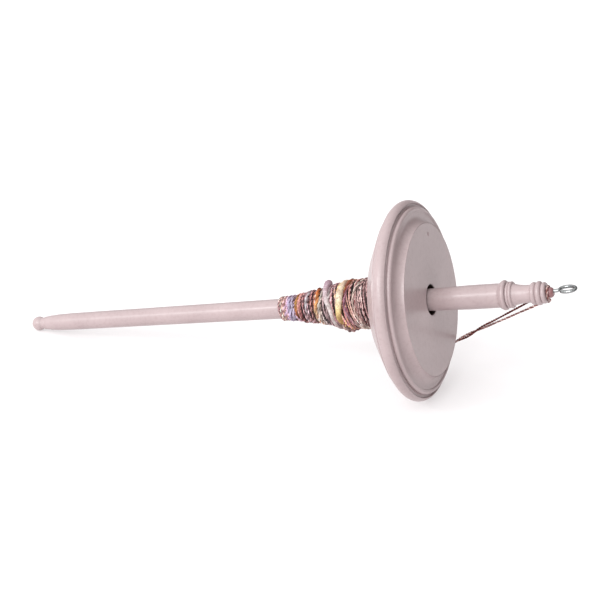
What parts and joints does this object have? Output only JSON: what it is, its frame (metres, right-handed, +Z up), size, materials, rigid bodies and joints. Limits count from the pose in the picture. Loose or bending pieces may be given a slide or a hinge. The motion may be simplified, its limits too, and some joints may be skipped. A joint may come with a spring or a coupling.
{
  "type": "drop spindle",
  "caption": "Top-whorl drop spindle: turned shaft with beaded head and wire hook, slip-on round whorl, a cop of spun yarn and a looped leader hitched at the nose.",
  "frame": {"origin": "floor point under the middle of the box round the whole spindle, lying at rest on the whorl's rim and the ball at its foot", "axes": "+Z up, +X along the floor from the ball foot towards the hook, +Y sideways; the spindle's own axis rises towards the hook by about 12.2 degrees"},
  "size_m": [0.2645, 0.09, 0.0881],
  "materials": {
    "painted_shaft": "satin dusty-pink paint over turned wood",
    "painted_whorl": "satin dusty-pink paint over turned wood",
    "hook_wire": "bright plated wire",
    "cop_yarn": "matt hand-spun wool in mixed pinks, browns, cream and ochre",
    "leader_yarn": "matt plied wool"
  },
  "bodies": {
    "spindle": {"shaft": "painted_shaft", "hook": "hook_wire", "cop": "cop_yarn", "leader": "leader_yarn"},
    "whorl": {"whorl": "painted_whorl"}
  },
  "joints": [
    {"name": "whorl_slide", "type": "slide", "parent": "spindle", "child": "whorl", "axis": [0.9774, 0, 0.2115], "range_m": [0, 0.03], "deforming": ["leader"]}
  ]
}
